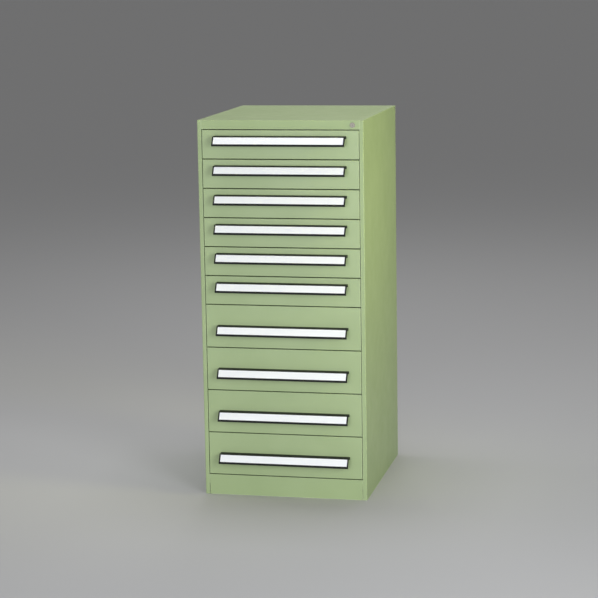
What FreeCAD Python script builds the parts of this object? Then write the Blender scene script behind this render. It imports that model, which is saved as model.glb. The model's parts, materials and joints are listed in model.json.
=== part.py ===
import FreeCAD, Part
import math
import os

# A free-standing steel tool cabinet: a folded casing, ten drawers on telescopic slides,
# and one cylinder lock that holds all the drawers through a rising bar.
# Millimetres. X runs to the right seen from the front, Y to the back and Z up.
# The origin is on the floor, under the middle of the casing.

# Casing
CABINET_WIDTH = 572.0
CABINET_DEPTH = 640.0
PLINTH_HEIGHT = 72.0
HEADER_HEIGHT = 32.0
PANEL_SHEET = 1.2
PANEL_BEND = 2.5
SIDE_FLANGE = 14.0
FLOOR_FLANGE = 40.0
HEADER_FLANGE = 30.0
JOGGLE_LAP = 8.0
REAR_PANEL_CLEAR = 0.3
LAP_CLEAR = 0.5

# Plinth and base
PLINTH_END_GAP = 1.4
PLINTH_FLANGE = 26.0
PLINTH_EDGE = 1.0
FLOOR_FLANGE_CLEAR = 2.0
BASE_SKIRT = 30.0
ANCHOR_HOLE_RADIUS = 5.5
ANCHOR_INSET = 22.0
ANCHOR_SETBACK = 70.0

# Drawer layout: every drawer is a whole number of upright slots high
SLOT_PITCH = 25.0
SHALLOW_SLOTS = 4
DEEP_SLOTS = 6
SHALLOW_COUNT = 6
DEEP_COUNT = 4
DRAWER_GAP = 3.2
SIDE_GAP = 2.0

# Drawer front and tray
DRAWER_SHEET = 1.0
FRONT_DEPTH = 20.0
FRONT_EDGE = 1.5
FRONT_LIP = 12.0
TRAY_FLOOR_UP = 8.0
TRAY_TOP_DOWN = 12.0
TRAY_REAR_SPACE = 30.0
HEM_WIDTH = 6.0
HEM_THICK = 2.0

# Uprights
UPRIGHT_SHEET = 1.6
UPRIGHT_DEPTH = 11.8
UPRIGHT_WIDTH = 40.0
UPRIGHT_TOP_CLEAR = 14.0
REAR_UPRIGHT_SPACE = 40.0
SLOT_WIDTH = 3.2
SLOT_HEIGHT = 12.0

# Telescopic slides, measured inwards from the upright and up or down from the slide's middle
SLIDE_THICK = 12.7
SLIDE_HEIGHT = 44.0
SLIDE_SHEET = 1.5
SLIDE_LIP = 1.6
SLIDE_PLAY = 0.3
WEB_PLAY = 0.5
SLIDE_SETBACK = 6.0
SLIDE_UP_SLOTS = 1.5
SLIDE_REAR_SPACE = 35.0
STOP_GAP = 0.5
HOOK_REACH = 5.0
HOOK_PLAY = 0.4

# Pull: an extruded profile, with heights above the drawer's lower gap, and how far it stands out
PULL_LENGTH = 455.0
PULL_TOP = 79.1
PULL_BACK_HEIGHT = 9.0
PULL_WALL = 2.2
PULL_LIP_DROP = 4.0
PULL_LIP_RETURN = 9.0
PULL_LIP_EDGE = 0.8
PULL_NOSE_RADIUS = 1.2
LABEL_END_SPACE = 4.5
LABEL_THICK = 0.8
LABEL_TOP_HEIGHT = 75.9
LABEL_TOP_OUT = 25.0
LABEL_BOTTOM_HEIGHT = 54.0
LABEL_BOTTOM_OUT = 38.5
LABEL_CLEAR = 0.15
RIM_PROUD = 0.6
RIM_TOP = 2.0
RIM_BOTTOM = 4.0

# Lock
LOCK_FROM_SIDE = 37.0
LOCK_FLANGE_RADIUS = 9.0
LOCK_FLANGE_THICK = 1.5
LOCK_FLANGE_CHAMFER = 0.5
LOCK_BODY_RADIUS = 8.0
LOCK_PLUG_RADIUS = 5.7
LOCK_FIT = 0.05
LOCK_FACE_RECESS = 0.3
LOCK_TAIL = 2.0
KEYWAY_WIDTH = 1.4
KEYWAY_HEIGHT = 6.4
KEYWAY_DEPTH = 5.0
NUT_ACROSS_FLATS = 20.0
NUT_THICK = 4.0
CAM_THROW = 9.0
CAM_HUB_RADIUS = 6.5
CAM_NOSE_RADIUS = 4.5
CAM_THICK = 2.0
CAM_REST_ANGLE = -45.0
PIN_RADIUS = 2.5
PIN_PLAY = 0.5

# Lock bar, its fingers and guides
BAR_SETBACK = 2.0
BAR_THICK = 3.0
BAR_WIDTH = 7.0
BAR_FROM_WALL = 2.3
BAR_CLEAR = 0.3
BAR_PLANE_GAP = 1.0
ARM_RIM = 3.0
FINGER_HEIGHT = 8.0
FINGER_TRAY_CLEAR = 2.2
EAR_HEIGHT = 10.0
EAR_THICK = 2.0
EAR_UPRIGHT_CLEAR = 2.0
EAR_FINGER_GAP = 3.0
EAR_PLAY = 0.6
GUIDE_HEIGHT = 10.0
GUIDE_WALL = 1.6
GUIDE_DROP = 8.0
GUIDE_STEP_ROWS = 3
UPRIGHT_BAR_SPACE = 7.0

# Rivets of the rear panel
RIVET_ROWS = 9
RIVET_TOP_COUNT = 4
RIVET_END_SPACE = 25.0
RIVET_SHANK_RADIUS = 1.6
RIVET_TAIL_RADIUS = 3.2
RIVET_HEAD_RADIUS = 3.2
RIVET_HEAD_HEIGHT = 1.0
RIVET_FIT = 0.05

# Sizes that follow from the ones above
SHALLOW_PITCH = SHALLOW_SLOTS * SLOT_PITCH
DEEP_PITCH = DEEP_SLOTS * SLOT_PITCH
CABINET_HEIGHT = PLINTH_HEIGHT + DEEP_COUNT * DEEP_PITCH + SHALLOW_COUNT * SHALLOW_PITCH + HEADER_HEIGHT
HALF_WIDTH = CABINET_WIDTH / 2
WALL_INSIDE = HALF_WIDTH - PANEL_SHEET
OPENING_HALF = HALF_WIDTH - SIDE_FLANGE
FACE_Y = -CABINET_DEPTH / 2
REAR_Y = CABINET_DEPTH / 2
FRONT_BACK_Y = FACE_Y + FRONT_DEPTH
REAR_PANEL_Y = REAR_Y - 2 * PANEL_SHEET
OPENING_TOP = CABINET_HEIGHT - HEADER_HEIGHT + DRAWER_GAP / 2
TOP_INSIDE = CABINET_HEIGHT - PANEL_SHEET
LAP_UNDERSIDE = TOP_INSIDE - PANEL_SHEET
PLINTH_TOP = PLINTH_HEIGHT - DRAWER_GAP / 2
BASE_TOP = PLINTH_TOP - PANEL_SHEET
UPRIGHT_FACE = WALL_INSIDE - UPRIGHT_DEPTH
TRAY_HALF = UPRIGHT_FACE - SLIDE_THICK
SLIDE_FRONT_Y = FRONT_BACK_Y + SLIDE_SETBACK
SLIDE_REAR_Y = REAR_Y - SLIDE_REAR_SPACE
SLIDE_UP = SLIDE_UP_SLOTS * SLOT_PITCH
BAR_FRONT_Y = FRONT_BACK_Y + BAR_SETBACK
BAR_REAR_Y = BAR_FRONT_Y + BAR_THICK
BAR_OUTER = WALL_INSIDE - BAR_FROM_WALL
BAR_INNER = BAR_OUTER - BAR_WIDTH
FRONT_UPRIGHT_Y = BAR_REAR_Y + UPRIGHT_BAR_SPACE
REAR_UPRIGHT_Y = REAR_Y - REAR_UPRIGHT_SPACE - UPRIGHT_WIDTH
LABEL_LENGTH = PULL_LENGTH - 2 * LABEL_END_SPACE
LOCK_X = HALF_WIDTH - LOCK_FROM_SIDE
LOCK_Z = CABINET_HEIGHT - HEADER_HEIGHT / 2
CAM_REAR_Y = BAR_FRONT_Y - BAR_PLANE_GAP
CAM_FRONT_Y = CAM_REAR_Y - CAM_THICK
PIN_X = LOCK_X + CAM_THROW * math.cos(math.radians(CAM_REST_ANGLE))
PIN_Z = LOCK_Z + CAM_THROW * math.sin(math.radians(CAM_REST_ANGLE))
BAR_TRAVEL = 2 * (LOCK_Z - PIN_Z)

Vector = FreeCAD.Vector
ORIGIN = Vector(0, 0, 0)
ALONG_X = Vector(1, 0, 0)
ALONG_Y = Vector(0, 1, 0)
ALONG_Z = Vector(0, 0, 1)
TOUCH = 0.001
PAST = 5.0


def block(x0, x1, y0, y1, z0, z1):
    """A box between six planes."""
    return Part.makeBox(x1 - x0, y1 - y0, z1 - z0, Vector(x0, y0, z0))


def rod(radius, start, direction, length):
    """A round bar from its start point."""
    return Part.makeCylinder(radius, length, start, direction)


def mirrored(shape):
    """The same shape on the other side of the cabinet."""
    return shape.mirror(ORIGIN, ALONG_X)


def joined(first, others):
    """One solid from pieces that touch."""
    return first.fuse(others).removeSplitter()


def rounded(shape, radius, wanted):
    """Round the straight edges whose two ends both pass the test."""
    edges = []
    for edge in shape.Edges:
        ends = [vertex.Point for vertex in edge.Vertexes]
        if len(ends) == 2 and wanted(ends[0], ends[1]):
            edges.append(edge)
    return shape.makeFillet(radius, edges)


def both_at(value, first, second):
    """True where two coordinates lie on the same plane."""
    return abs(first - value) < TOUCH and abs(second - value) < TOUCH


def prism_along_x(outline, x0, x1):
    """Extrude a closed outline of (y, z) points from x0 to x1."""
    points = [Vector(x0, y, z) for y, z in outline]
    wire = Part.makePolygon(points + [points[0]])
    return Part.Face(wire).extrude(Vector(x1 - x0, 0, 0))


def prism_along_y(outline, y0, y1):
    """Extrude a closed outline of (x, z) points from y0 to y1."""
    points = [Vector(x, y0, z) for x, z in outline]
    wire = Part.makePolygon(points + [points[0]])
    return Part.Face(wire).extrude(Vector(0, y1 - y0, 0))


def drawer_rows():
    """Number, lower gap height and pitch of each drawer, from the lowest up."""
    pitches = [DEEP_PITCH] * DEEP_COUNT + [SHALLOW_PITCH] * SHALLOW_COUNT
    rows = []
    bottom = PLINTH_HEIGHT
    for index, pitch in enumerate(pitches):
        rows.append((len(pitches) - index, bottom, pitch))
        bottom = bottom + pitch
    return rows


def rivet_heights():
    """Heights of the rivets up each rear flange, clear of the base pan and the top flange."""
    lowest = BASE_TOP + RIVET_END_SPACE
    highest = CABINET_HEIGHT - SIDE_FLANGE - RIVET_END_SPACE
    step = (highest - lowest) / (RIVET_ROWS - 1)
    return [lowest + step * row for row in range(RIVET_ROWS)]


def rivet_places():
    """Where the rivets go through the rear flanges, as (x, z)."""
    side_x = HALF_WIDTH - SIDE_FLANGE / 2
    places = []
    for z in rivet_heights():
        places.append((-side_x, z))
        places.append((side_x, z))
    top_z = CABINET_HEIGHT - SIDE_FLANGE / 2
    step = 2 * OPENING_HALF / RIVET_TOP_COUNT
    for index in range(RIVET_TOP_COUNT):
        places.append((-OPENING_HALF + step * (index + 0.5), top_z))
    return places


def with_rivet_holes(shape):
    """Bore the rivets' holes through a rear flange or the rear panel."""
    radius = RIVET_SHANK_RADIUS + RIVET_FIT
    start_y = REAR_PANEL_Y - PAST
    drills = [rod(radius, Vector(x, start_y, z), ALONG_Y, 3 * PAST) for x, z in rivet_places()]
    return shape.cut(drills)


def folded_side_block(x0, inset):
    """Right-hand block with the casing's bends on its outer and top edges."""
    x1 = HALF_WIDTH - inset
    y0 = FACE_Y + inset
    y1 = REAR_Y - inset
    z0 = inset
    z1 = CABINET_HEIGHT - inset
    solid = block(x0, x1, y0, y1, z0, z1)

    def is_bend(a, b):
        on_floor = both_at(z0, a.z, b.z)
        on_side = both_at(x1, a.x, b.x)
        along_top_end = both_at(z1, a.z, b.z) and abs(a.y - b.y) < TOUCH
        return (on_side and not on_floor) or along_top_end

    return rounded(solid, PANEL_BEND - inset, is_bend)


def side_panel_right():
    """Wall with front, rear and top flanges, a return lip and a floor flange."""
    floor_edge = HALF_WIDTH - FLOOR_FLANGE
    outer = folded_side_block(floor_edge, 0.0)
    hollow = folded_side_block(floor_edge - PAST, PANEL_SHEET)
    above_floor = block(floor_edge - PAST, OPENING_HALF, FACE_Y - PAST, REAR_Y + PAST,
                        PANEL_SHEET, CABINET_HEIGHT + PAST)
    setback = PLINTH_FLANGE + FLOOR_FLANGE_CLEAR
    front_relief = block(floor_edge - PAST, OPENING_HALF, FACE_Y - PAST, FACE_Y + setback,
                         -PAST, PAST)
    rear_relief = block(floor_edge - PAST, OPENING_HALF, REAR_Y - setback, REAR_Y + PAST,
                        -PAST, PAST)
    panel = outer.cut([hollow, above_floor, front_relief, rear_relief])
    lip = block(OPENING_HALF, OPENING_HALF + PANEL_SHEET, FACE_Y + PANEL_SHEET, FRONT_BACK_Y,
                PLINTH_HEIGHT, OPENING_TOP)
    panel = joined(panel, [lip])
    anchor_x = HALF_WIDTH - ANCHOR_INSET
    for anchor_y in (FACE_Y + ANCHOR_SETBACK, REAR_Y - ANCHOR_SETBACK):
        panel = panel.cut(rod(ANCHOR_HOLE_RADIUS, Vector(anchor_x, anchor_y, -PAST), ALONG_Z, 3 * PAST))
    return with_rivet_holes(panel)


def rear_panel():
    """Flat sheet behind the rear flanges, standing on the floor flanges' ends."""
    edge = HALF_WIDTH - PANEL_BEND - REAR_PANEL_CLEAR
    top = CABINET_HEIGHT - PANEL_BEND - REAR_PANEL_CLEAR
    sheet = block(-edge, edge, REAR_PANEL_Y, REAR_PANEL_Y + PANEL_SHEET, PANEL_SHEET, top)
    return with_rivet_holes(sheet)


def top_panel():
    """Lid between the side flanges, folded down at the rear and lapped under them."""
    front_y = FACE_Y + HEADER_FLANGE

    def folded(inset, y0, z0):
        half = OPENING_HALF + (PAST if inset else 0.0)
        y1 = REAR_Y - inset
        z1 = CABINET_HEIGHT - inset
        solid = block(-half, half, y0, y1, z0, z1)
        return rounded(solid, PANEL_BEND - inset,
                       lambda a, b: both_at(y1, a.y, b.y) and both_at(z1, a.z, b.z))

    lid = folded(0.0, front_y, CABINET_HEIGHT - SIDE_FLANGE)
    lid = lid.cut(folded(PANEL_SHEET, front_y - PAST, CABINET_HEIGHT - SIDE_FLANGE - PAST))
    lap_outer = HALF_WIDTH - PANEL_BEND - LAP_CLEAR
    lap = block(OPENING_HALF - JOGGLE_LAP, lap_outer, front_y, REAR_PANEL_Y - LAP_CLEAR,
                LAP_UNDERSIDE, TOP_INSIDE)
    return with_rivet_holes(joined(lid, [lap, mirrored(lap)]))


def header_rail():
    """Channel over the drawers, flush with the side flanges, bored for the lock."""
    front_y = FACE_Y
    rear_y = FACE_Y + HEADER_FLANGE

    def channel(inset, y1, z0):
        y0 = front_y + inset
        z1 = CABINET_HEIGHT - inset
        half = OPENING_HALF + (PAST if inset else 0.0)
        solid = block(-half, half, y0, y1, z0, z1)
        return rounded(solid, PANEL_BEND - inset,
                       lambda a, b: both_at(y0, a.y, b.y) and both_at(z1, a.z, b.z))

    rail = channel(0.0, rear_y, OPENING_TOP)
    hollow = channel(PANEL_SHEET, rear_y + PAST, OPENING_TOP + PANEL_SHEET)
    behind = block(-HALF_WIDTH, HALF_WIDTH, FRONT_BACK_Y, rear_y + PAST, OPENING_TOP - PAST, TOP_INSIDE)
    rail = rail.cut([hollow, behind])
    lap_inner = OPENING_HALF - JOGGLE_LAP
    lap_outer = HALF_WIDTH - PANEL_BEND - LAP_CLEAR
    end_lap = block(lap_inner, lap_outer, front_y + PANEL_SHEET, front_y + 2 * PANEL_SHEET,
                    OPENING_TOP + 2 * PANEL_SHEET, LAP_UNDERSIDE - PANEL_SHEET)
    rear_lap_half = lap_inner - LAP_CLEAR
    rear_lap = block(-rear_lap_half, rear_lap_half, rear_y - JOGGLE_LAP, rear_y + JOGGLE_LAP,
                     LAP_UNDERSIDE, TOP_INSIDE)
    rail = joined(rail, [end_lap, mirrored(end_lap), rear_lap])
    bore = rod(LOCK_BODY_RADIUS + LOCK_FIT, Vector(LOCK_X, FACE_Y - PAST, LOCK_Z), ALONG_Y, 3 * PAST)
    return rail.cut(bore)


def base_pan():
    """Inverted pan under the lowest drawer, welded to the side walls."""
    y0 = FACE_Y + PANEL_SHEET
    y1 = REAR_PANEL_Y

    def pan(inset, z0, z1):
        half = WALL_INSIDE - inset
        solid = block(-half, half, y0 + inset, y1 - inset, z0, z1)
        return rounded(solid, PANEL_BEND - inset, lambda a, b: abs(a.z - b.z) > TOUCH)

    outer = pan(0.0, BASE_TOP - BASE_SKIRT, BASE_TOP)
    return outer.cut(pan(PANEL_SHEET, BASE_TOP - BASE_SKIRT - PAST, BASE_TOP - PANEL_SHEET))


def plinth_panel():
    """Removable front of the base, hooked over the base pan."""
    half = OPENING_HALF - PLINTH_END_GAP
    rear_y = FACE_Y + PLINTH_FLANGE
    outer = block(-half, half, FACE_Y, rear_y, 0, PLINTH_TOP)
    outer = rounded(outer, PLINTH_EDGE,
                    lambda a, b: both_at(FACE_Y, a.y, b.y) and not both_at(0.0, a.z, b.z))
    hollow = block(-half - PAST, half + PAST, FACE_Y + PANEL_SHEET, rear_y + PAST,
                   PANEL_SHEET, PLINTH_TOP - PANEL_SHEET)
    over = block(-half - PAST, half + PAST, FRONT_BACK_Y, rear_y + PAST, PANEL_SHEET, PLINTH_TOP + PAST)
    return outer.cut([hollow, over])


def slot_heights():
    """Heights of the slots in an upright, one each slot pitch above the plinth."""
    last = CABINET_HEIGHT - UPRIGHT_TOP_CLEAR - SLOT_HEIGHT
    count = int((last - PLINTH_HEIGHT) / SLOT_PITCH)
    return [PLINTH_HEIGHT + SLOT_PITCH * (index + 1) for index in range(count)]


def upright_right(y0):
    """Slotted channel that stands on the base pan and is welded to the side wall."""
    y1 = y0 + UPRIGHT_WIDTH
    top = CABINET_HEIGHT - UPRIGHT_TOP_CLEAR
    channel = block(UPRIGHT_FACE, WALL_INSIDE, y0, y1, BASE_TOP, top)
    hollow = block(UPRIGHT_FACE + UPRIGHT_SHEET, WALL_INSIDE + PAST, y0 + UPRIGHT_SHEET, y1 - UPRIGHT_SHEET,
                   BASE_TOP - PAST, top + PAST)
    middle = (y0 + y1) / 2
    cutters = [hollow]
    for z in slot_heights():
        cutters.append(block(UPRIGHT_FACE - PAST, UPRIGHT_FACE + PAST, middle - SLOT_WIDTH / 2,
                             middle + SLOT_WIDTH / 2, z - SLOT_HEIGHT / 2, z + SLOT_HEIGHT / 2))
    return channel.cut(cutters)


def slide_section(half_outline, middle_z):
    """Close a half outline of (inwards, up) points below the slide's middle, as (x, z)."""
    upper = [(UPRIGHT_FACE - inwards, middle_z + up) for inwards, up in half_outline]
    lower = [(UPRIGHT_FACE - inwards, middle_z - up) for inwards, up in reversed(half_outline)]
    return upper + lower


def cabinet_member(middle_z):
    """Outer member, open to the inside, with hooks into the uprights and a rear stop."""
    top = SLIDE_HEIGHT / 2
    edge = SLIDE_THICK - SLIDE_SHEET + SLIDE_PLAY
    outline = [(0, top), (edge, top), (edge, top - SLIDE_SHEET - SLIDE_LIP),
               (edge - SLIDE_SHEET, top - SLIDE_SHEET - SLIDE_LIP), (edge - SLIDE_SHEET, top - SLIDE_SHEET),
               (SLIDE_SHEET, top - SLIDE_SHEET)]
    stop_front = SLIDE_REAR_Y + STOP_GAP
    stop_rear = stop_front + SLIDE_SHEET
    rail = prism_along_y(slide_section(outline, middle_z), SLIDE_FRONT_Y, stop_rear)
    stop = block(UPRIGHT_FACE - edge, UPRIGHT_FACE, stop_front, stop_rear, middle_z - top, middle_z + top)
    hook_half_z = SLOT_HEIGHT / 2 - HOOK_PLAY
    hook_half_y = SLOT_WIDTH / 2 - HOOK_PLAY
    pieces = [stop]
    for upright_y in (FRONT_UPRIGHT_Y, REAR_UPRIGHT_Y):
        hook_y = upright_y + UPRIGHT_WIDTH / 2
        for hook_z in (middle_z - SLOT_PITCH / 2, middle_z + SLOT_PITCH / 2):
            pieces.append(block(UPRIGHT_FACE, UPRIGHT_FACE + HOOK_REACH, hook_y - hook_half_y,
                                hook_y + hook_half_y, hook_z - hook_half_z, hook_z + hook_half_z))
    return joined(rail, pieces)


def middle_member(middle_z):
    """Channel that runs inside the cabinet member and carries the drawer member."""
    web = SLIDE_SHEET + WEB_PLAY
    top = SLIDE_HEIGHT / 2 - SLIDE_SHEET - SLIDE_PLAY
    edge = SLIDE_THICK - 2 * SLIDE_SHEET
    outline = [(web, top), (edge, top), (edge, top - SLIDE_SHEET - SLIDE_LIP),
               (edge - SLIDE_SHEET, top - SLIDE_SHEET - SLIDE_LIP), (edge - SLIDE_SHEET, top - SLIDE_SHEET),
               (web + SLIDE_SHEET, top - SLIDE_SHEET)]
    return prism_along_y(slide_section(outline, middle_z), SLIDE_FRONT_Y, SLIDE_REAR_Y)


def drawer_member(middle_z):
    """Channel welded to the tray, whose feet are held behind the middle member's lips."""
    foot_top = SLIDE_HEIGHT / 2 - 2 * SLIDE_SHEET - 2 * SLIDE_PLAY
    top = foot_top - SLIDE_LIP
    foot = 2 * SLIDE_SHEET + WEB_PLAY + SLIDE_PLAY
    inner = SLIDE_THICK - SLIDE_SHEET
    outline = [(foot, foot_top), (foot + SLIDE_SHEET, foot_top), (foot + SLIDE_SHEET, top),
               (SLIDE_THICK, top)]
    inside = [(inner, top - SLIDE_SHEET), (foot, top - SLIDE_SHEET)]
    ring = outline + [(SLIDE_THICK, -top), (foot + SLIDE_SHEET, -top), (foot + SLIDE_SHEET, -foot_top),
                      (foot, -foot_top), (foot, SLIDE_SHEET - top), (inner, SLIDE_SHEET - top)] + inside
    points = [(UPRIGHT_FACE - inwards, middle_z + up) for inwards, up in ring]
    return prism_along_y(points, SLIDE_FRONT_Y, SLIDE_REAR_Y)


def drawer_front(bottom, pitch):
    """Folded pan with a lip all round its back."""
    half = OPENING_HALF - SIDE_GAP
    z0 = bottom + DRAWER_GAP / 2
    z1 = bottom + pitch - DRAWER_GAP / 2
    outer = block(-half, half, FACE_Y, FRONT_BACK_Y, z0, z1)
    outer = rounded(outer, FRONT_EDGE, lambda a, b: both_at(FACE_Y, a.y, b.y))
    sheet = DRAWER_SHEET
    hollow = block(-half + sheet, half - sheet, FACE_Y + sheet, FRONT_BACK_Y - sheet, z0 + sheet, z1 - sheet)
    window = block(-half + FRONT_LIP, half - FRONT_LIP, FACE_Y + FRONT_DEPTH / 2, FRONT_BACK_Y + PAST,
                   z0 + FRONT_LIP, z1 - FRONT_LIP)
    return outer.cut([hollow, window])


def drawer_tray(bottom, pitch):
    """Open box with a hem turned inwards along its side and rear walls."""
    y0 = FRONT_BACK_Y
    y1 = REAR_Y - TRAY_REAR_SPACE
    z0 = bottom + TRAY_FLOOR_UP
    z1 = bottom + pitch - TRAY_TOP_DOWN
    sheet = DRAWER_SHEET
    outer = block(-TRAY_HALF, TRAY_HALF, y0, y1, z0, z1)
    hollow = block(-TRAY_HALF + sheet, TRAY_HALF - sheet, y0 + sheet, y1 - sheet, z0 + sheet, z1 - HEM_THICK)
    mouth = block(-TRAY_HALF + HEM_WIDTH, TRAY_HALF - HEM_WIDTH, y0 + sheet, y1 - HEM_WIDTH,
                  z1 - HEM_THICK - PAST, z1 + PAST)
    return outer.cut([hollow, mouth])


def lock_ear(tray_top):
    """Tab on the tray's right wall that the lock bar's finger stands in front of."""
    y0 = BAR_REAR_Y + EAR_PLAY
    return block(TRAY_HALF, UPRIGHT_FACE - EAR_UPRIGHT_CLEAR, y0, y0 + EAR_THICK,
                 tray_top - EAR_HEIGHT, tray_top)


def drawer_box(bottom, pitch):
    """Front pan, tray, drawer members and lock ear of one drawer, as separate solids."""
    right = drawer_member(bottom + SLIDE_UP)
    tray_top = bottom + pitch - TRAY_TOP_DOWN
    return Part.makeCompound([drawer_front(bottom, pitch), drawer_tray(bottom, pitch),
                              right, mirrored(right), lock_ear(tray_top)])


def drawer_slides(bottom):
    """The left and right middle members of one drawer."""
    right = middle_member(bottom + SLIDE_UP)
    return Part.makeCompound([right, mirrored(right)])


def label_slope():
    """Unit vectors down the label's slope and out of it, as (out, up)."""
    run = LABEL_BOTTOM_OUT - LABEL_TOP_OUT
    drop = LABEL_TOP_HEIGHT - LABEL_BOTTOM_HEIGHT
    length = math.hypot(run, drop)
    down = (run / length, -drop / length)
    normal = (drop / length, run / length)
    return down, normal, length


def on_slope(along, proud):
    """A point on the label's plane, measured down from its top edge and out of it."""
    down, normal, length = label_slope()
    out = LABEL_TOP_OUT + along * down[0] + proud * normal[0]
    up = LABEL_TOP_HEIGHT + along * down[1] + proud * normal[1]
    return out, up


def on_slope_at(up, proud):
    """The point at one height on a line that runs along the label's slope."""
    down, normal, length = label_slope()
    along = (LABEL_TOP_HEIGHT + proud * normal[1] - up) / -down[1]
    return on_slope(along, proud)


def pull_points(points, bottom):
    """Turn (out, up) points into (y, z) points of a drawer."""
    return [(FACE_Y - out, bottom + up) for out, up in points]


def pull(bottom):
    """Extruded pull, open at its ends and below: a back flange, a top, a label bed and a finger lip."""
    length = label_slope()[2]
    nose_top = on_slope(-RIM_TOP, RIM_PROUD)
    nose_bottom = on_slope(length + RIM_BOTTOM, RIM_PROUD)
    lip_bottom = nose_bottom[1] - PULL_LIP_DROP
    lip_inner = nose_bottom[0] - PULL_LIP_RETURN
    outer_points = [(0, PULL_TOP), nose_top, nose_bottom, (nose_bottom[0] - PULL_LIP_EDGE, lip_bottom),
                    (0, lip_bottom)]
    half = PULL_LENGTH / 2
    outer = prism_along_x(pull_points(outer_points, bottom), -half, half)
    nose_z = bottom + nose_top[1]
    lip_z = bottom + nose_bottom[1]
    outer = rounded(outer, PULL_NOSE_RADIUS,
                    lambda a, b: both_at(nose_z, a.z, b.z) or both_at(lip_z, a.z, b.z))
    behind = LABEL_THICK + PULL_WALL
    inner_top = on_slope(-RIM_TOP, -behind)
    lip_top = lip_bottom + PULL_WALL
    inner_bottom = on_slope_at(lip_top, -behind)
    past_bottom = lip_bottom - PAST
    inner_points = [(PULL_WALL, PULL_TOP - PULL_WALL), inner_top, inner_bottom, (lip_inner, lip_top),
                    (lip_inner, past_bottom), (PULL_WALL, past_bottom)]
    finger_room = prism_along_x(pull_points(inner_points, bottom), -half - PAST, half + PAST)
    bed_points = [on_slope(-LABEL_CLEAR, -LABEL_THICK), on_slope(length + LABEL_CLEAR, -LABEL_THICK),
                  on_slope(length + LABEL_CLEAR, PAST), on_slope(-LABEL_CLEAR, PAST)]
    bed_half = LABEL_LENGTH / 2 + LABEL_CLEAR
    bed = prism_along_x(pull_points(bed_points, bottom), -bed_half, bed_half)
    under_back = block(-half - PAST, half + PAST, FACE_Y - PULL_WALL - TOUCH, FACE_Y + PAST,
                       bottom + past_bottom, bottom + PULL_TOP - PULL_BACK_HEIGHT)
    return outer.cut([finger_room, bed, under_back])


def label_card(bottom):
    """The card that lies in the pull's bed."""
    length = label_slope()[2]
    points = [on_slope(0, -LABEL_THICK), on_slope(length, -LABEL_THICK), on_slope(length, 0), on_slope(0, 0)]
    half = LABEL_LENGTH / 2
    return prism_along_x(pull_points(points, bottom), -half, half)


def lock_housing():
    """Flanged sleeve that the plug turns in."""
    face_y = FACE_Y - LOCK_FLANGE_THICK
    flange = rod(LOCK_FLANGE_RADIUS, Vector(LOCK_X, face_y, LOCK_Z), ALONG_Y, LOCK_FLANGE_THICK)
    flange = flange.makeChamfer(LOCK_FLANGE_CHAMFER, [edge for edge in flange.Edges
                                                     if abs(edge.BoundBox.YMax - face_y) < TOUCH])
    rear_y = CAM_FRONT_Y - LOCK_TAIL
    body = rod(LOCK_BODY_RADIUS, Vector(LOCK_X, FACE_Y, LOCK_Z), ALONG_Y, rear_y - FACE_Y)
    bore = rod(LOCK_PLUG_RADIUS + LOCK_FIT, Vector(LOCK_X, face_y - PAST, LOCK_Z), ALONG_Y,
               rear_y - face_y + 2 * PAST)
    return joined(flange, [body]).cut(bore)


def lock_nut():
    """Hexagon nut that clamps the housing behind the head rail."""
    y0 = FACE_Y + PANEL_SHEET
    corner = NUT_ACROSS_FLATS / math.sqrt(3)
    outline = []
    for index in range(6):
        angle = math.radians(60 * index)
        outline.append((LOCK_X + corner * math.cos(angle), LOCK_Z + corner * math.sin(angle)))
    nut = prism_along_y(outline, y0, y0 + NUT_THICK)
    return nut.cut(rod(LOCK_BODY_RADIUS + LOCK_FIT, Vector(LOCK_X, y0 - PAST, LOCK_Z), ALONG_Y, 3 * PAST))


def lock_plug():
    """Round plug with a keyway, which carries the cam on its tail."""
    face_y = FACE_Y - LOCK_FLANGE_THICK + LOCK_FACE_RECESS
    plug = rod(LOCK_PLUG_RADIUS, Vector(LOCK_X, face_y, LOCK_Z), ALONG_Y, CAM_FRONT_Y - face_y)
    keyway = block(LOCK_X - KEYWAY_WIDTH / 2, LOCK_X + KEYWAY_WIDTH / 2, face_y - PAST, face_y + KEYWAY_DEPTH,
                   LOCK_Z - KEYWAY_HEIGHT / 2, LOCK_Z + KEYWAY_HEIGHT / 2)
    return plug.cut(keyway)


def lock_cam():
    """Cam plate with its drive pin, at the angle it has when the drawers are free."""
    hub = rod(CAM_HUB_RADIUS, Vector(LOCK_X, CAM_FRONT_Y, LOCK_Z), ALONG_Y, CAM_THICK)
    nose_at = Vector(PIN_X, CAM_FRONT_Y, PIN_Z)
    nose = rod(CAM_NOSE_RADIUS, nose_at, ALONG_Y, CAM_THICK)
    pin_length = CAM_THICK + BAR_PLANE_GAP + BAR_THICK + BAR_PLANE_GAP
    pin = rod(PIN_RADIUS, nose_at, ALONG_Y, pin_length)
    return joined(hub, [nose, pin])


def finger_bottom(bottom, pitch):
    """Lower edge of a finger while the drawers are free."""
    tray_top = bottom + pitch - TRAY_TOP_DOWN
    return tray_top - EAR_HEIGHT - EAR_FINGER_GAP - FINGER_HEIGHT


def guide_bottom(bottom, pitch):
    """Lower edge of a guide block, under the finger of its drawer."""
    return finger_bottom(bottom, pitch) - GUIDE_DROP - GUIDE_HEIGHT


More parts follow.
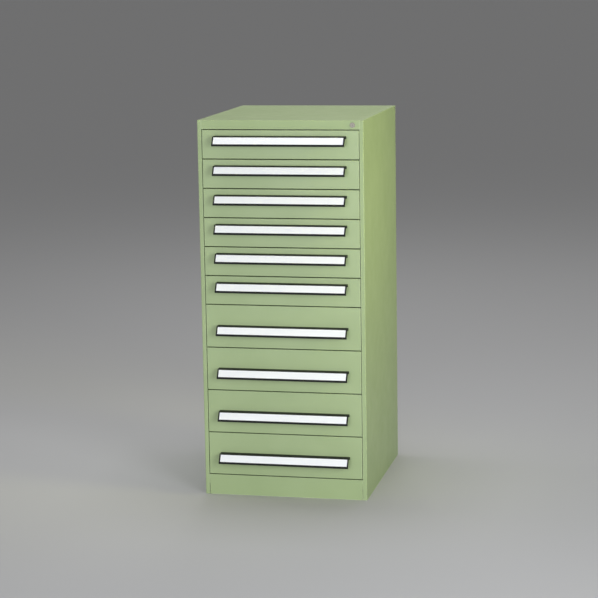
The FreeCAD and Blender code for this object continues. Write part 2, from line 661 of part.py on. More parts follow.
def lock_bar():
    """Flat bar with one finger for each drawer and a slotted arm for the cam's pin."""
    slot_half = PIN_RADIUS + PIN_PLAY
    arm_low = PIN_Z - slot_half - ARM_RIM
    arm_high = PIN_Z + slot_half + ARM_RIM
    lowest = guide_bottom(*drawer_rows()[0][1:]) - GUIDE_DROP
    bar = block(BAR_INNER, BAR_OUTER, BAR_FRONT_Y, BAR_REAR_Y, lowest, arm_high)
    arm = block(PIN_X - slot_half - ARM_RIM, BAR_INNER, BAR_FRONT_Y, BAR_REAR_Y, arm_low, arm_high)
    reach = LOCK_X + CAM_THROW - PIN_X
    slot = block(PIN_X - slot_half, PIN_X + reach + slot_half, BAR_FRONT_Y - PAST, BAR_REAR_Y + PAST,
                 PIN_Z - slot_half, PIN_Z + slot_half)
    solids = [bar, arm.cut(slot)]
    for number, bottom, pitch in drawer_rows():
        z0 = finger_bottom(bottom, pitch)
        solids.append(block(TRAY_HALF + FINGER_TRAY_CLEAR, BAR_INNER, BAR_FRONT_Y, BAR_REAR_Y,
                            z0, z0 + FINGER_HEIGHT))
    return Part.makeCompound(solids)


def lock_bar_guides():
    """Blocks on the side wall that the lock bar slides through."""
    rows = drawer_rows()
    solids = []
    for number, bottom, pitch in rows[::GUIDE_STEP_ROWS]:
        z0 = guide_bottom(bottom, pitch)
        body = block(BAR_INNER - BAR_CLEAR - GUIDE_WALL, WALL_INSIDE, BAR_FRONT_Y - BAR_CLEAR - GUIDE_WALL,
                     BAR_REAR_Y + BAR_CLEAR + GUIDE_WALL, z0, z0 + GUIDE_HEIGHT)
        way = block(BAR_INNER - BAR_CLEAR, BAR_OUTER + BAR_CLEAR, BAR_FRONT_Y - BAR_CLEAR,
                    BAR_REAR_Y + BAR_CLEAR, z0 - PAST, z0 + GUIDE_HEIGHT + PAST)
        solids.append(body.cut(way))
    return Part.makeCompound(solids)


def rear_rivets():
    """Blind rivets with a domed head outside and a set tail inside."""
    solids = []
    for x, z in rivet_places():
        tail_y = REAR_PANEL_Y - RIVET_HEAD_HEIGHT
        tail = rod(RIVET_TAIL_RADIUS, Vector(x, tail_y, z), ALONG_Y, RIVET_HEAD_HEIGHT)
        shank = rod(RIVET_SHANK_RADIUS, Vector(x, tail_y, z), ALONG_Y, REAR_Y - tail_y)
        head = Part.makeCone(RIVET_HEAD_RADIUS, RIVET_SHANK_RADIUS, RIVET_HEAD_HEIGHT,
                             Vector(x, REAR_Y, z), ALONG_Y)
        solids.append(joined(shank, [tail, head]))
    return Part.makeCompound(solids)


def cabinet_slides_right():
    """The cabinet members of all drawers on the right."""
    return Part.makeCompound([cabinet_member(bottom + SLIDE_UP) for number, bottom, pitch in drawer_rows()])


def all_nodes():
    """Every sub-part by its name."""
    panel = side_panel_right()
    front_upright = upright_right(FRONT_UPRIGHT_Y)
    rear_upright = upright_right(REAR_UPRIGHT_Y)
    slides = cabinet_slides_right()
    nodes = {
        "side_panel_right": panel,
        "side_panel_left": mirrored(panel),
        "rear_panel": rear_panel(),
        "top_panel": top_panel(),
        "header_rail": header_rail(),
        "base_pan": base_pan(),
        "plinth_panel": plinth_panel(),
        "upright_front_right": front_upright,
        "upright_front_left": mirrored(front_upright),
        "upright_rear_right": rear_upright,
        "upright_rear_left": mirrored(rear_upright),
        "cabinet_slides_right": slides,
        "cabinet_slides_left": mirrored(slides),
        "rear_rivets": rear_rivets(),
        "lock_housing": lock_housing(),
        "lock_nut": lock_nut(),
        "lock_plug": lock_plug(),
        "lock_cam": lock_cam(),
        "lock_bar": lock_bar(),
        "lock_bar_guides": lock_bar_guides(),
    }
    for number, bottom, pitch in drawer_rows():
        name = "drawer_%02d" % number
        nodes[name + "_box"] = drawer_box(bottom, pitch)
        nodes[name + "_slides"] = drawer_slides(bottom)
        nodes[name + "_pull"] = pull(bottom)
        nodes[name + "_label"] = label_card(bottom)
    return nodes


def main():
    os.makedirs("parts", exist_ok=True)
    for name, shape in all_nodes().items():
        shape.exportStep("parts/" + name + ".step")
        print(name, len(shape.Solids), "solids", round(shape.Volume / 1000, 2), "cm3", shape.isValid())
    print("cabinet height", CABINET_HEIGHT, "lock bar travel", round(BAR_TRAVEL, 3))


main()
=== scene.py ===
# %% [markdown]
# A ten-drawer steel tool cabinet, dressed in Blender.
#
# The construction comes in as a finished frame: every sheet, slide and lock piece is already in place and
# at its real size, in metres, with Z up and -Y out of the drawer fronts. This script gives each of those
# pieces the finish of the real one, and sets up a studio with one camera. Nothing here moves or reshapes a
# piece, so the drawers can be pulled out afterwards and every face behind them is dressed as well.

import json
import math

import bpy
from mathutils import Matrix, Vector


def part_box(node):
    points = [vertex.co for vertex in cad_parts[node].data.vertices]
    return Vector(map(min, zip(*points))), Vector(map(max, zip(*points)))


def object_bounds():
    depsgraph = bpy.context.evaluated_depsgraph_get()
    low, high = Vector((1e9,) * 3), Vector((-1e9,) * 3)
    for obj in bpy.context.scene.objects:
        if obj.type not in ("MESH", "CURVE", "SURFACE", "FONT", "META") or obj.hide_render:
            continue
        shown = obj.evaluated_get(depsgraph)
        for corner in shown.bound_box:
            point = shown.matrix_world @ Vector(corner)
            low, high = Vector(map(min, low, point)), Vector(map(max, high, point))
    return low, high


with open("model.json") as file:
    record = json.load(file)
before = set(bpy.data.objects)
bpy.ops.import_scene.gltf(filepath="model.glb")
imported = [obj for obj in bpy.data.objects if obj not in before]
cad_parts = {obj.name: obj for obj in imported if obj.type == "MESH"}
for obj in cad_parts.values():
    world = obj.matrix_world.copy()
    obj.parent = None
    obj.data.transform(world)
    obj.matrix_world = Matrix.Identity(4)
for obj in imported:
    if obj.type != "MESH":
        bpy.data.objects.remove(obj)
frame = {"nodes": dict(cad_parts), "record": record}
CAD_BOX = [list(corner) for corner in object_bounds()]
nodes = frame["nodes"]

# %% [markdown]
# The photograph was taken a little above the top of the cabinet and from its right, with a long lens, so
# that the uprights stay almost parallel. A camera can be placed by eye, but here the corners of the casing
# were matched with their places in the picture, which gives one distance, one focal length and a small roll.
# The picture is square, so a 36 mm sensor makes the focal length in millimetres a plain ratio.

# %% Where the camera stands
PICTURE_SIDE = 598
FOCAL_PIXELS = 1972.6
SENSOR_WIDTH = 36.0
CAMERA_PLACE = Vector((1.4814, -6.7640, 1.8549))
CAMERA_AZIMUTH = math.radians(-12.46)
CAMERA_PITCH = math.radians(9.95)
CAMERA_ROLL = math.radians(-0.93)
print("camera", round(CAMERA_PLACE.length, 2), "m from the middle of the footprint")

# %% [markdown]
# Blender stores a camera's turn as a matrix whose columns are its right, its up and its backward direction.
# Building those three by hand from azimuth, pitch and roll keeps the meaning of each angle plain, where
# Euler angles would need a rule for their order.


# %% The camera's turn
def camera_turn(azimuth, pitch, roll):
    """Rotation of a camera that looks along azimuth, down by pitch, and is rolled about its own view."""
    along = math.cos(pitch)
    forward = Vector((math.sin(azimuth) * along, math.cos(azimuth) * along, -math.sin(pitch)))
    level_right = Vector((math.cos(azimuth), -math.sin(azimuth), 0.0))
    level_up = level_right.cross(forward)
    right = math.cos(roll) * level_right + math.sin(roll) * level_up
    up = math.cos(roll) * level_up - math.sin(roll) * level_right
    return Matrix((right, up, -forward)).transposed()


def make_camera():
    """The camera of the photograph, with nothing blurred."""
    lens = bpy.data.cameras.new("studio_camera")
    lens.sensor_width = SENSOR_WIDTH
    lens.lens = FOCAL_PIXELS / PICTURE_SIDE * SENSOR_WIDTH
    camera = bpy.data.objects.new("studio_camera", lens)
    turn = camera_turn(CAMERA_AZIMUTH, CAMERA_PITCH, CAMERA_ROLL).to_4x4()
    camera.matrix_world = Matrix.Translation(CAMERA_PLACE) @ turn
    bpy.context.scene.collection.objects.link(camera)
    bpy.context.scene.camera = camera
    return camera


camera = make_camera()
print("lens", round(camera.data.lens, 1), "mm")

# %% [markdown]
# Every material below is a small tree of nodes. Written out in full, a tree is mostly bookkeeping, so two
# helpers keep the recipes readable: one puts a node in a tree with its settings and socket values, the other
# joins two sockets. A third makes one Math node of an operation and two inputs.


# %% Helpers: nodes, links and sums
def put(tree, kind, values=None, **settings):
    """Add one node, with its own settings and the values of its sockets by name or number."""
    node = tree.nodes.new(kind)
    for name, value in settings.items():
        setattr(node, name, value)
    for socket, value in (values or {}).items():
        node.inputs[socket].default_value = value
    return node


def join(tree, source, target):
    """Link an output socket to an input socket."""
    tree.links.new(source, target)


def math_node(tree, operation, first, second, clamp=False):
    """A math node whose two inputs are sockets or plain numbers."""
    node = put(tree, "ShaderNodeMath", operation=operation, use_clamp=clamp)
    for index, value in enumerate((first, second)):
        if isinstance(value, bpy.types.NodeSocket):
            join(tree, value, node.inputs[index])
        else:
            node.inputs[index].default_value = value
    return node.outputs[0]


print("node helpers:", put.__name__, join.__name__, math_node.__name__)

# %% [markdown]
# Two more steps come back in every finish: mixing two colours by a mask, and stretching a mask's 0 to 1 over
# the range of a roughness. Blender's Mix node has sockets of the same name for each kind of data, so the
# colour ones are picked by their type.


# %% Helpers: mixing and stretching
def blend_colours(tree, mask, first, second):
    """Mix two colours by a mask; each is a socket or a linear colour of three numbers."""
    node = put(tree, "ShaderNodeMix", data_type="RGBA")
    join(tree, mask, node.inputs["Factor"])
    for name, value in (("A", first), ("B", second)):
        socket = next(s for s in node.inputs if s.name == name and s.type == "RGBA")
        if isinstance(value, bpy.types.NodeSocket):
            join(tree, value, socket)
        else:
            socket.default_value = (*value, 1.0)
    return next(s for s in node.outputs if s.type == "RGBA")


def spread(tree, source, low, high):
    """Stretch a socket's 0 to 1 over another range."""
    node = put(tree, "ShaderNodeMapRange", {"To Min": low, "To Max": high})
    join(tree, source, node.inputs["Value"])
    return node.outputs["Result"]


print("mixing helpers:", blend_colours.__name__, spread.__name__)

# %% [markdown]
# An effect that several finishes share is a node group: it is built once, and each material sets its own
# sizes and amounts on it. The alternative, a copy of the nodes in every material, drifts apart as soon as one
# copy is changed.


# %% Helpers: making and placing a group
def new_group(name, inputs, outputs):
    """An empty shader group; inputs gives each number's default, outputs each socket's kind."""
    group = bpy.data.node_groups.new(name, "ShaderNodeTree")
    for label, value in inputs.items():
        socket = group.interface.new_socket(label, in_out="INPUT", socket_type="NodeSocketFloat")
        socket.default_value = value
    for label, kind in outputs.items():
        group.interface.new_socket(label, in_out="OUTPUT", socket_type="NodeSocket" + kind)
    return group, put(group, "NodeGroupInput"), put(group, "NodeGroupOutput")


def place_group(tree, group, **values):
    """Put a group in a material, with this material's own values; _ in a name stands for a space."""
    node = put(tree, "ShaderNodeGroup", node_tree=group)
    for name, value in values.items():
        node.inputs[name.replace("_", " ")].default_value = value
    return node


print("group helpers:", new_group.__name__, place_group.__name__)

# %% [markdown]
# Paint and plating are never the same shade all over. A slow noise, as wide as a hand, stands for the way
# a spray gun or a plating bath lays its coat. It could be painted as a texture, but a noise in object space
# needs no unwrapping and keeps its real size on every piece. It is a group because most finishes use it.


# %% Group: slow changes of tone
def build_tone_group():
    """Two octaves of noise about one Size wide, in metres, as a value from 0 to 1."""
    tree, inside, outside = new_group("tone", {"Size": 0.1}, {"Value": "Float"})
    place = put(tree, "ShaderNodeTexCoord")
    scale = math_node(tree, "DIVIDE", 1.0, inside.outputs["Size"])
    noise = put(tree, "ShaderNodeTexNoise", {"Detail": 2.0, "Roughness": 0.6})
    join(tree, place.outputs["Object"], noise.inputs["Vector"])
    join(tree, scale, noise.inputs["Scale"])
    stretch = put(tree, "ShaderNodeMapRange", {"From Min": 0.3, "From Max": 0.7})
    join(tree, noise.outputs["Fac"], stretch.inputs["Value"])
    join(tree, stretch.outputs["Result"], outside.inputs["Value"])
    return tree


tone_group = build_tone_group()
print("group", tone_group.name, "with", len(tone_group.nodes), "nodes")

# %% [markdown]
# Powder coat melts into a skin with a faint orange peel, thin sheet is never quite flat, and moulded pieces
# carry a grain from their mould. All are height fields with one typical size, so one group serves them and
# goes to a Bump node. Real displacement would need millions of faces for heights of a few hundredths of a
# millimetre.


# %% Group: fine surface grain
def build_grain_group():
    """A bumpy height about one Size wide, in metres, as a value from 0 to 1."""
    tree, inside, outside = new_group("grain", {"Size": 0.001}, {"Height": "Float"})
    place = put(tree, "ShaderNodeTexCoord")
    scale = math_node(tree, "DIVIDE", 1.0, inside.outputs["Size"])
    noise = put(tree, "ShaderNodeTexNoise", {"Detail": 1.0, "Roughness": 0.4})
    join(tree, place.outputs["Object"], noise.inputs["Vector"])
    join(tree, scale, noise.inputs["Scale"])
    join(tree, noise.outputs["Fac"], outside.inputs["Height"])
    return tree


grain_group = build_grain_group()
print("group", grain_group.name, "with", len(grain_group.nodes), "nodes")

# %% [markdown]
# Coats are thinnest on sharp edges and get rubbed there first, which draws a fine pale line round every
# folded sheet. The line is also a painted highlight, standing in for the light that rounded bends and edges
# catch from the lamps, on the paint and on the pulls alike. The Bevel node finds such edges on any mesh:
# where its rounded normal leaves the true one, an edge is near. A slow noise breaks the line up, so that it
# doesn't look drawn.


# %% Group: worn edges and their painted highlight
def build_edge_group():
    """A mask of the edges, Width wide in metres, broken into patches and scaled by Amount."""
    sizes = {"Width": 0.001, "Patches": 0.05, "Amount": 1.0}
    tree, inside, outside = new_group("worn_and_highlit_edge", sizes, {"Mask": "Float"})
    surface = put(tree, "ShaderNodeNewGeometry")
    rounded = put(tree, "ShaderNodeBevel", samples=6)
    join(tree, inside.outputs["Width"], rounded.inputs["Radius"])
    agreement = put(tree, "ShaderNodeVectorMath", operation="DOT_PRODUCT")
    join(tree, surface.outputs["Normal"], agreement.inputs[0])
    join(tree, rounded.outputs["Normal"], agreement.inputs[1])
    near_edge = put(tree, "ShaderNodeMapRange", {"From Min": 0.995, "From Max": 0.85})
    join(tree, agreement.outputs["Value"], near_edge.inputs["Value"])
    patches = place_group(tree, tone_group)
    join(tree, inside.outputs["Patches"], patches.inputs["Size"])
    broken = spread(tree, patches.outputs["Value"], 0.35, 1.0)
    worn_and_highlit = math_node(tree, "MULTIPLY", near_edge.outputs["Result"], broken)
    scaled = math_node(tree, "MULTIPLY", worn_and_highlit, inside.outputs["Amount"], clamp=True)
    join(tree, scaled, outside.inputs["Mask"])
    return tree


edge_group = build_edge_group()
print("group", edge_group.name, "with", len(edge_group.nodes), "nodes")

# %% [markdown]
# Dust settles on what faces up, more in some places than in others. The surface normal's height gives the
# first and the tone group the second. The normal is the world's, which is right here because no piece of
# this cabinet ever tips over.


# %% Group: settled dust
def build_dust_group():
    """A mask of the faces that look up, in patches one Size wide, scaled by Amount."""
    tree, inside, outside = new_group("settled_dust", {"Size": 0.12, "Amount": 0.3}, {"Mask": "Float"})
    surface = put(tree, "ShaderNodeNewGeometry")
    split = put(tree, "ShaderNodeSeparateXYZ")
    join(tree, surface.outputs["Normal"], split.inputs["Vector"])
    facing_up = put(tree, "ShaderNodeMapRange", {"From Min": 0.5, "From Max": 0.95})
    join(tree, split.outputs["Z"], facing_up.inputs["Value"])
    patches = place_group(tree, tone_group)
    join(tree, inside.outputs["Size"], patches.inputs["Size"])
    lying = math_node(tree, "MULTIPLY", facing_up.outputs["Result"], patches.outputs["Value"])
    scaled = math_node(tree, "MULTIPLY", lying, inside.outputs["Amount"], clamp=True)
    join(tree, scaled, outside.inputs["Mask"])
    return tree


dust_group = build_dust_group()
print("group", dust_group.name, "with", len(dust_group.nodes), "nodes")

# %% [markdown]
# Bright zinc plate is a metal with a slightly cloudy skin: where the bath ran hotter the coat is duller and
# darker. The uprights and slides have it all over, and the drawers have it on the members welded to their
# sides, so it is a group with a colour and a roughness that both kinds of piece can use.

# %% Group: skin of zinc plate
ZINC_LIGHT = (0.52, 0.53, 0.55)
ZINC_DARK = (0.46, 0.47, 0.49)


def build_zinc_group():
    """The colour and the roughness of zinc plate, in clouds one Size wide in metres."""
    tree, inside, outside = new_group("zinc_skin", {"Size": 0.014}, {"Colour": "Color", "Roughness": "Float"})
    cloud = place_group(tree, tone_group)
    join(tree, inside.outputs["Size"], cloud.inputs["Size"])
    join(tree, blend_colours(tree, cloud.outputs["Value"], ZINC_DARK, ZINC_LIGHT), outside.inputs["Colour"])
    join(tree, spread(tree, cloud.outputs["Value"], 0.42, 0.36), outside.inputs["Roughness"])
    return tree


zinc_group = build_zinc_group()
print("group", zinc_group.name, "with", len(zinc_group.nodes), "nodes")

# %% [markdown]
# A material starts with one Principled shader. What stays the same all over a surface, such as how strongly
# it mirrors, is written on the shader itself, and only what varies over the surface comes in through nodes.
# Heights go through one Bump node, whose Distance is the depth of the relief in metres.


# %% Helpers: a material and its bump
def new_material(name, roughness, metallic=0.0, **values):
    """A material with one Principled shader; _ in a value's name stands for a space."""
    material = bpy.data.materials.new(name)
    material.use_nodes = True
    shader = material.node_tree.nodes["Principled BSDF"]
    shader.inputs["Roughness"].default_value = roughness
    shader.inputs["Metallic"].default_value = metallic
    for label, value in values.items():
        shader.inputs[label.replace("_", " ")].default_value = value
    return material, material.node_tree, shader


def bump(tree, shader, height, distance):
    """Feed a height to the shader's normal through one Bump node, with its depth in metres."""
    node = put(tree, "ShaderNodeBump", {"Strength": 1.0, "Distance": distance})
    join(tree, height, node.inputs["Height"])
    join(tree, node.outputs["Normal"], shader.inputs["Normal"])


print("material helpers:", new_material.__name__, bump.__name__)

# %% [markdown]
# The casing and the drawers are sprayed with one satin powder coat in a pale green. A flat green would look
# like plastic, so the coat has a slow change of tone, a fine orange peel, the slight waviness of thin sheet,
# paler edges, partly rubbed and partly a painted highlight, and a little dust on top. Its colours are linear
# values: the green of the fronts in the photograph, with the light taken out.

# %% Values of the powder coat
PAINT_DEEP = (0.322, 0.414, 0.212)
PAINT_LIGHT = (0.344, 0.438, 0.230)
# Pale edge colour: partly rubbed coat, partly a painted highlight for the light on the bends.
PAINT_EDGE_WEAR_AND_HIGHLIGHT = (0.60, 0.70, 0.46)
DUST_COLOUR = (0.44, 0.47, 0.31)
EDGE_WEAR_AND_HIGHLIGHT_WIDTH = 0.003
PEEL_SIZE = 0.0016
PEEL_DEPTH = 0.00003
WAVE_SIZE = 0.28
WAVE_DEPTH = 0.0012
SMUDGE_SIZE = 0.05
GLOSS_SPREAD = 0.08
print("orange peel", PEEL_SIZE * 1000, "mm wide, sheet waves", WAVE_SIZE * 1000, "mm wide")

# %% [markdown]
# A drawer is one weldment of painted and plated pieces: its slide members lie outside the tray's walls and
# behind the front. So a point's place tells which finish it has, and one material can carry both. Two
# materials on one mesh would need faces picked by number, which breaks when the mesh changes.


# %% Where a drawer is plated
def outside_tray(tree, tray_half, front_back):
    """1 on the slide members that are welded outside a tray, and 0 on the tray and the front."""
    place = put(tree, "ShaderNodeTexCoord")
    split = put(tree, "ShaderNodeSeparateXYZ")
    join(tree, place.outputs["Object"], split.inputs["Vector"])
    sideways = math_node(tree, "ABSOLUTE", split.outputs["X"], 0.0)
    beside = math_node(tree, "GREATER_THAN", sideways, tray_half)
    behind = math_node(tree, "GREATER_THAN", split.outputs["Y"], front_back)
    return math_node(tree, "MULTIPLY", beside, behind)


def plate_members(tree, shader, colour, roughness, members):
    """Turn paint into zinc on a drawer's slide members; gives the new colour and roughness, and the mask."""
    plated = outside_tray(tree, *members)
    zinc = place_group(tree, zinc_group, Size=0.012)
    roughness_gap = math_node(tree, "SUBTRACT", zinc.outputs["Roughness"], roughness)
    roughness = math_node(tree, "ADD", roughness, math_node(tree, "MULTIPLY", plated, roughness_gap))
    join(tree, plated, shader.inputs["Metallic"])
    return blend_colours(tree, plated, colour, zinc.outputs["Colour"]), roughness, plated


FRONT_DEPTH = 0.020
MEMBER_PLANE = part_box("drawer_01_pull")[1].y + FRONT_DEPTH
MEMBER_HALF = 0.2604
print("drawers are plated beyond", MEMBER_HALF, "m sideways and behind", round(MEMBER_PLANE, 4), "m")

# %% [markdown]
# The recipe itself goes from the inside out: tone, then the pale edges, then the dust, and then, on a
# drawer, the plated members. Peel and waves are two heights of the same Bump node, because they lie in the
# same skin, and on the plate the peel is left out. In the photograph the drawer fronts take a paler haze
# from the lamps than the casing does, so the casing's coat is a little rougher and mirrors less.


# %% Powder coat
def paint_finish(name, roughest, mirroring, members=None):
    """Powder coat; members gives the half width and the plane where a drawer's plated members start."""
    material, tree, shader = new_material(name, roughest, Specular_IOR_Level=mirroring)
    tone = place_group(tree, tone_group, Size=0.16)
    colour = blend_colours(tree, tone.outputs["Value"], PAINT_DEEP, PAINT_LIGHT)
    # The pale edges are partly wear and partly a painted highlight on the bends.
    edge = place_group(tree, edge_group, Width=EDGE_WEAR_AND_HIGHLIGHT_WIDTH, Patches=0.06, Amount=0.75)
    colour = blend_colours(tree, edge.outputs["Mask"], colour, PAINT_EDGE_WEAR_AND_HIGHLIGHT)
    dust = place_group(tree, dust_group, Size=0.14, Amount=0.08)
    colour = blend_colours(tree, dust.outputs["Mask"], colour, DUST_COLOUR)
    smudges = place_group(tree, tone_group, Size=SMUDGE_SIZE)
    roughness = spread(tree, smudges.outputs["Value"], roughest - GLOSS_SPREAD, roughest)
    peel = place_group(tree, grain_group, Size=PEEL_SIZE).outputs["Height"]
    if members:
        colour, roughness, plated = plate_members(tree, shader, colour, roughness, members)
        peel = math_node(tree, "MULTIPLY", peel, math_node(tree, "SUBTRACT", 1.0, plated))
    join(tree, colour, shader.inputs["Base Color"])
    join(tree, roughness, shader.inputs["Roughness"])
    wave = place_group(tree, grain_group, Size=WAVE_SIZE)
    swell = math_node(tree, "MULTIPLY", wave.outputs["Height"], WAVE_DEPTH / PEEL_DEPTH)
    bump(tree, shader, math_node(tree, "ADD", peel, swell), PEEL_DEPTH)
    return material


casing_paint = paint_finish("casing_paint", 0.50, 0.26)
drawer_paint = paint_finish("drawer_paint", 0.42, 0.50, members=(MEMBER_HALF, MEMBER_PLANE))
print("paints:", casing_paint.name, drawer_paint.name)

# %% [markdown]
# Uprights, slides, the lock bar and the rivets are zinc plated. The clouds of the plate come from the group,
# and a very shallow grain stands for the rolled sheet below it. On a metal a deep bump would show as black
# pits, so its depth is a tenth of the paint's.


# %% Zinc plate
def zinc_finish():
    """Bright zinc plate with clouds of tone and a shallow rolled grain."""
    material, tree, shader = new_material("zinc_plate", 0.4, metallic=1.0)
    zinc = place_group(tree, zinc_group, Size=0.014)
    join(tree, zinc.outputs["Colour"], shader.inputs["Base Color"])
    join(tree, zinc.outputs["Roughness"], shader.inputs["Roughness"])
    grain = place_group(tree, grain_group, Size=0.0009)
    bump(tree, shader, grain.outputs["Height"], PEEL_DEPTH / 10)
    return material


zinc_plate = zinc_finish()
print("plating:", zinc_plate.name)

# %% [markdown]
# A pull is one dark extruded profile, open at its ends, with a sloped bed for the label and a lip for the
# fingers. Extrusions come off the line matte, and hands polish the edges first. So its nearly black skin has
# a fine grain, and the edges, found by the same group as on the paint, are a shade lighter: partly that
# polish and partly a painted sheen, standing in for the light the edges catch.

# %% Dark profile of the pulls
PULL_DARK = (0.010, 0.012, 0.011)
# Edge colour of the pulls: polish together with a painted sheen.
PULL_WORN_AND_SHEEN = (0.030, 0.034, 0.031)


def pull_finish():
    """A nearly black profile with a fine grain, and edges lightened by polish and by a painted sheen."""
    material, tree, shader = new_material("dark_pull_profile", 0.55, Specular_IOR_Level=0.25)
    # The lighter edges are partly polish and partly a painted sheen.
    edge = place_group(tree, edge_group, Width=0.0008, Patches=0.03, Amount=0.5)
    colour = blend_colours(tree, edge.outputs["Mask"], PULL_DARK, PULL_WORN_AND_SHEEN)
    join(tree, colour, shader.inputs["Base Color"])
    tone = place_group(tree, tone_group, Size=0.03)
    join(tree, spread(tree, tone.outputs["Value"], 0.50, 0.62), shader.inputs["Roughness"])
    grain = place_group(tree, grain_group, Size=0.0006)
    bump(tree, shader, grain.outputs["Height"], 0.00004)
    return material


dark_pull_profile = pull_finish()
print("pulls:", dark_pull_profile.name)

# %% [markdown]
# The label is a strip of plain white card. Up close, card is a felt of fibres, so it is a little uneven in
# tone and not quite smooth. It stays just short of pure white, because paper never sends back all the light.

# %% White card
CARD_BRIGHT = (0.865, 0.888, 0.925)
CARD_SHADE = (0.835, 0.858, 0.895)


def card_finish():
    """Smooth white card with faint fibres."""
    material, tree, shader = new_material("white_card", 0.55)
    fibre = place_group(tree, grain_group, Size=0.0012)
    colour = blend_colours(tree, fibre.outputs["Height"], CARD_SHADE, CARD_BRIGHT)
    join(tree, colour, shader.inputs["Base Color"])
    bump(tree, shader, fibre.outputs["Height"], 0.00001)
    return material


white_card = card_finish()
print("labels:", white_card.name)

# %% [markdown]
# The lock is a small piece of satin nickel that keys have dulled. In the photograph it is hardly brighter
# than the paint round it, which a polished chrome would not be: that would mirror the lamps as a white disc.

# %% Satin nickel of the lock
NICKEL_LIGHT = (0.25, 0.24, 0.205)
NICKEL_DARK = (0.19, 0.18, 0.155)


def nickel_finish():
    """Satin nickel, a little dulled by keys."""
    material, tree, shader = new_material("satin_nickel", 0.42, metallic=1.0)
    tone = place_group(tree, tone_group, Size=0.004)
    colour = blend_colours(tree, tone.outputs["Value"], NICKEL_DARK, NICKEL_LIGHT)
    join(tree, colour, shader.inputs["Base Color"])
    join(tree, spread(tree, tone.outputs["Value"], 0.38, 0.48), shader.inputs["Roughness"])
    return material


satin_nickel = nickel_finish()
print("lock:", satin_nickel.name)

# %% [markdown]
# The lock bar runs in guides of natural nylon, which is milky: some of the light goes in and comes out
# beside where it entered. A little subsurface weight on the shader gives that glow.

# %% Natural nylon of the guides
NYLON_LIGHT = (0.80, 0.78, 0.70)
NYLON_DARK = (0.72, 0.70, 0.62)


def nylon_finish():
    """Natural nylon, milky and slightly waxy."""
    material, tree, shader = new_material("natural_nylon", 0.4, Subsurface_Weight=0.15)
    tone = place_group(tree, tone_group, Size=0.01)
    colour = blend_colours(tree, tone.outputs["Value"], NYLON_DARK, NYLON_LIGHT)
    join(tree, colour, shader.inputs["Base Color"])
    return material


natural_nylon = nylon_finish()
print("guides:", natural_nylon.name)

# %% [markdown]
# The frame's record names a finish for every piece, so the pieces can be dressed in one loop. The drawers'
# weldments are the one exception: they take the paint that knows where their plated members are.

# %% Dress the pieces of the frame
finishes = {
    "green_paint": casing_paint,
    "zinc_steel": zinc_plate,
    "lock_chrome": satin_nickel,
    "pull_plastic": dark_pull_profile,
    "label_card": white_card,
    "guide_plastic": natural_nylon,
}


def dress(piece, material):
    """Give a piece of the frame one finish in all its material slots."""
    for material_slot in piece.material_slots:
        material_slot.material = material
    if not piece.material_slots:
        piece.data.materials.append(material)


for part in frame["record"]["subparts"]:
    name = part["node"]
    finish = drawer_paint if name.endswith("_box") else finishes[part["material_slot"]]
    dress(nodes[name], finish)

# %% [markdown]
# The studio is a wide pale floor with no wall, so that the camera can walk all round the cabinet. Far away,
# only the sky lights the floor, and the sky that the camera sees has that same shade, so no horizon shows.
# Near the cabinet the lamps brighten the floor, which gives the photograph's backdrop: dark above and
# lighter below.

# %% Floor
FLOOR_SIDE = 240.0
FLOOR_COLOUR = (0.50, 0.50, 0.505)


def make_floor():
    """A very large pale floor under the cabinet."""
    half = FLOOR_SIDE / 2
    mesh = bpy.data.meshes.new("studio_floor")
    corners = [(-half, -half, 0), (half, -half, 0), (half, half, 0), (-half, half, 0)]
    mesh.from_pydata(corners, [], [(0, 1, 2, 3)])
    floor = bpy.data.objects.new("studio_floor", mesh)
    bpy.context.scene.collection.objects.link(floor)
    material, tree, shader = new_material("studio_floor", 0.8)
    shader.inputs["Base Color"].default_value = (*FLOOR_COLOUR, 1.0)
    mesh.materials.append(material)
    return floor


floor = make_floor()
print("floor", FLOOR_SIDE, "m wide")

# %% [markdown]
# The sky lights the cabinet evenly from all round. What the camera, a mirror or glass would see of it is set
# apart with the Light Path node, so that the backdrop's shade can be chosen without changing the light.

# %% Sky
SKY_STRENGTH = 0.32
SKY_SEEN = FLOOR_COLOUR[1] * SKY_STRENGTH


def make_sky():
    """Even light from all round, seen by the camera as the shade of the far floor."""
    world = bpy.data.worlds.new("studio_sky")
    bpy.context.scene.world = world
    world.use_nodes = True
    tree = world.node_tree
    tree.nodes.clear()
    light = put(tree, "ShaderNodeBackground", {"Color": (1.0, 1.0, 1.0, 1.0), "Strength": SKY_STRENGTH})
    seen = put(tree, "ShaderNodeBackground", {"Color": (1.0, 1.0, 1.0, 1.0), "Strength": SKY_SEEN})
    ray = put(tree, "ShaderNodeLightPath")
    looked_at = math_node(tree, "MAXIMUM", ray.outputs["Is Camera Ray"], ray.outputs["Is Glossy Ray"])
    looked_at = math_node(tree, "MAXIMUM", looked_at, ray.outputs["Is Transmission Ray"])
    choice = put(tree, "ShaderNodeMixShader")
    output = put(tree, "ShaderNodeOutputWorld")
    join(tree, looked_at, choice.inputs["Fac"])
    join(tree, light.outputs["Background"], choice.inputs[1])
    join(tree, seen.outputs["Background"], choice.inputs[2])
    join(tree, choice.outputs["Shader"], output.inputs["Surface"])


make_sky()
print("sky lights with", SKY_STRENGTH, "and is seen as", SKY_SEEN)

# %% [markdown]
# The lamps are soft boxes: rectangles that send light from their whole face. Spread narrows the beam, as a
# grid in front of a real soft box does, and keeps a lamp's light on the cabinet and off the floor beside it.


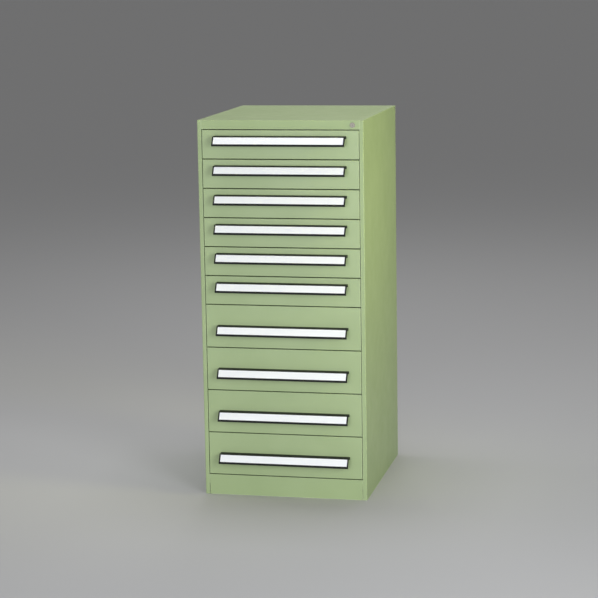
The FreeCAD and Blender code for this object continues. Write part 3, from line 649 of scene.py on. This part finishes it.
# %% Helper: a soft box
def soft_lamp(name, place, aim, width, height, watts, tint, beam=180.0):
    """A soft box at a place, turned towards a point, which lights the scene but isn't seen itself."""
    lamp = bpy.data.lights.new(name, "AREA")
    lamp.shape = "RECTANGLE"
    lamp.size = width
    lamp.size_y = height
    lamp.energy = watts
    lamp.color = tint
    lamp.spread = math.radians(beam)
    holder = bpy.data.objects.new(name, lamp)
    holder.location = place
    holder.rotation_euler = (Vector(aim) - Vector(place)).to_track_quat("-Z", "Y").to_euler()
    holder.visible_camera = False
    bpy.context.scene.collection.objects.link(holder)
    return holder


COOL = (0.96, 0.975, 1.0)
NEUTRAL = (1.0, 1.0, 1.0)
WARM = (1.0, 0.98, 0.40)
cabinet_middle = (Vector(CAD_BOX[0]) + Vector(CAD_BOX[1])) / 2
print("lamps aim near", tuple(round(value, 2) for value in cabinet_middle))

# %% [markdown]
# Two boxes light the front. They stand no higher than the middle of the camera's view, because a high lamp
# would throw shadows below the pulls that the photograph doesn't have. One faces the fronts squarely, and
# the other stands to the right, so that the fronts grow paler towards the upper right.

# %% Lamps on the front
front_lamps = [
    soft_lamp("front_softbox", (0.2, -4.9, 1.2), cabinet_middle, 2.6, 2.0, 40.5, COOL, 120.0),
    soft_lamp("corner_softbox", (2.6, -3.4, 1.3), cabinet_middle, 1.4, 2.0, 34.0, COOL, 120.0),
]
print("front lamps:", [lamp.name for lamp in front_lamps])

# %% [markdown]
# The right side is yellower and darker than the front, and fades towards its lower back, so a small warm box
# near its front edge lights it. The others keep the left side, the back and the top readable when the
# camera walks round. None of them stands where the top would mirror it into the camera.

# %% Lamps on the sides, the back and the top
other_lamps = [
    soft_lamp("right_softbox", (2.5, -0.7, 1.9), (0.28, -0.18, 1.05), 0.8, 0.8, 2.9, WARM, 50.0),
    soft_lamp("left_softbox", (-2.7, 0.4, 1.3), (-0.28, 0.1, 1.0), 1.2, 1.3, 4.0, NEUTRAL, 80.0),
    soft_lamp("rear_softbox", (-0.5, 4.2, 4.5), (-0.2, 1.5, 0.5), 1.6, 1.2, 30.0, NEUTRAL),
    soft_lamp("top_softbox", (0.0, 0.4, 4.2), (0.0, 0.4, 0.0), 1.6, 1.2, 41.0, NEUTRAL),
]
print("other lamps:", [lamp.name for lamp in other_lamps])

# %% [markdown]
# Last comes the view transform. Standard shows a colour as it was written, where the filmic ones would grey
# it.

# %% View transform
bpy.context.scene.view_settings.view_transform = "Standard"
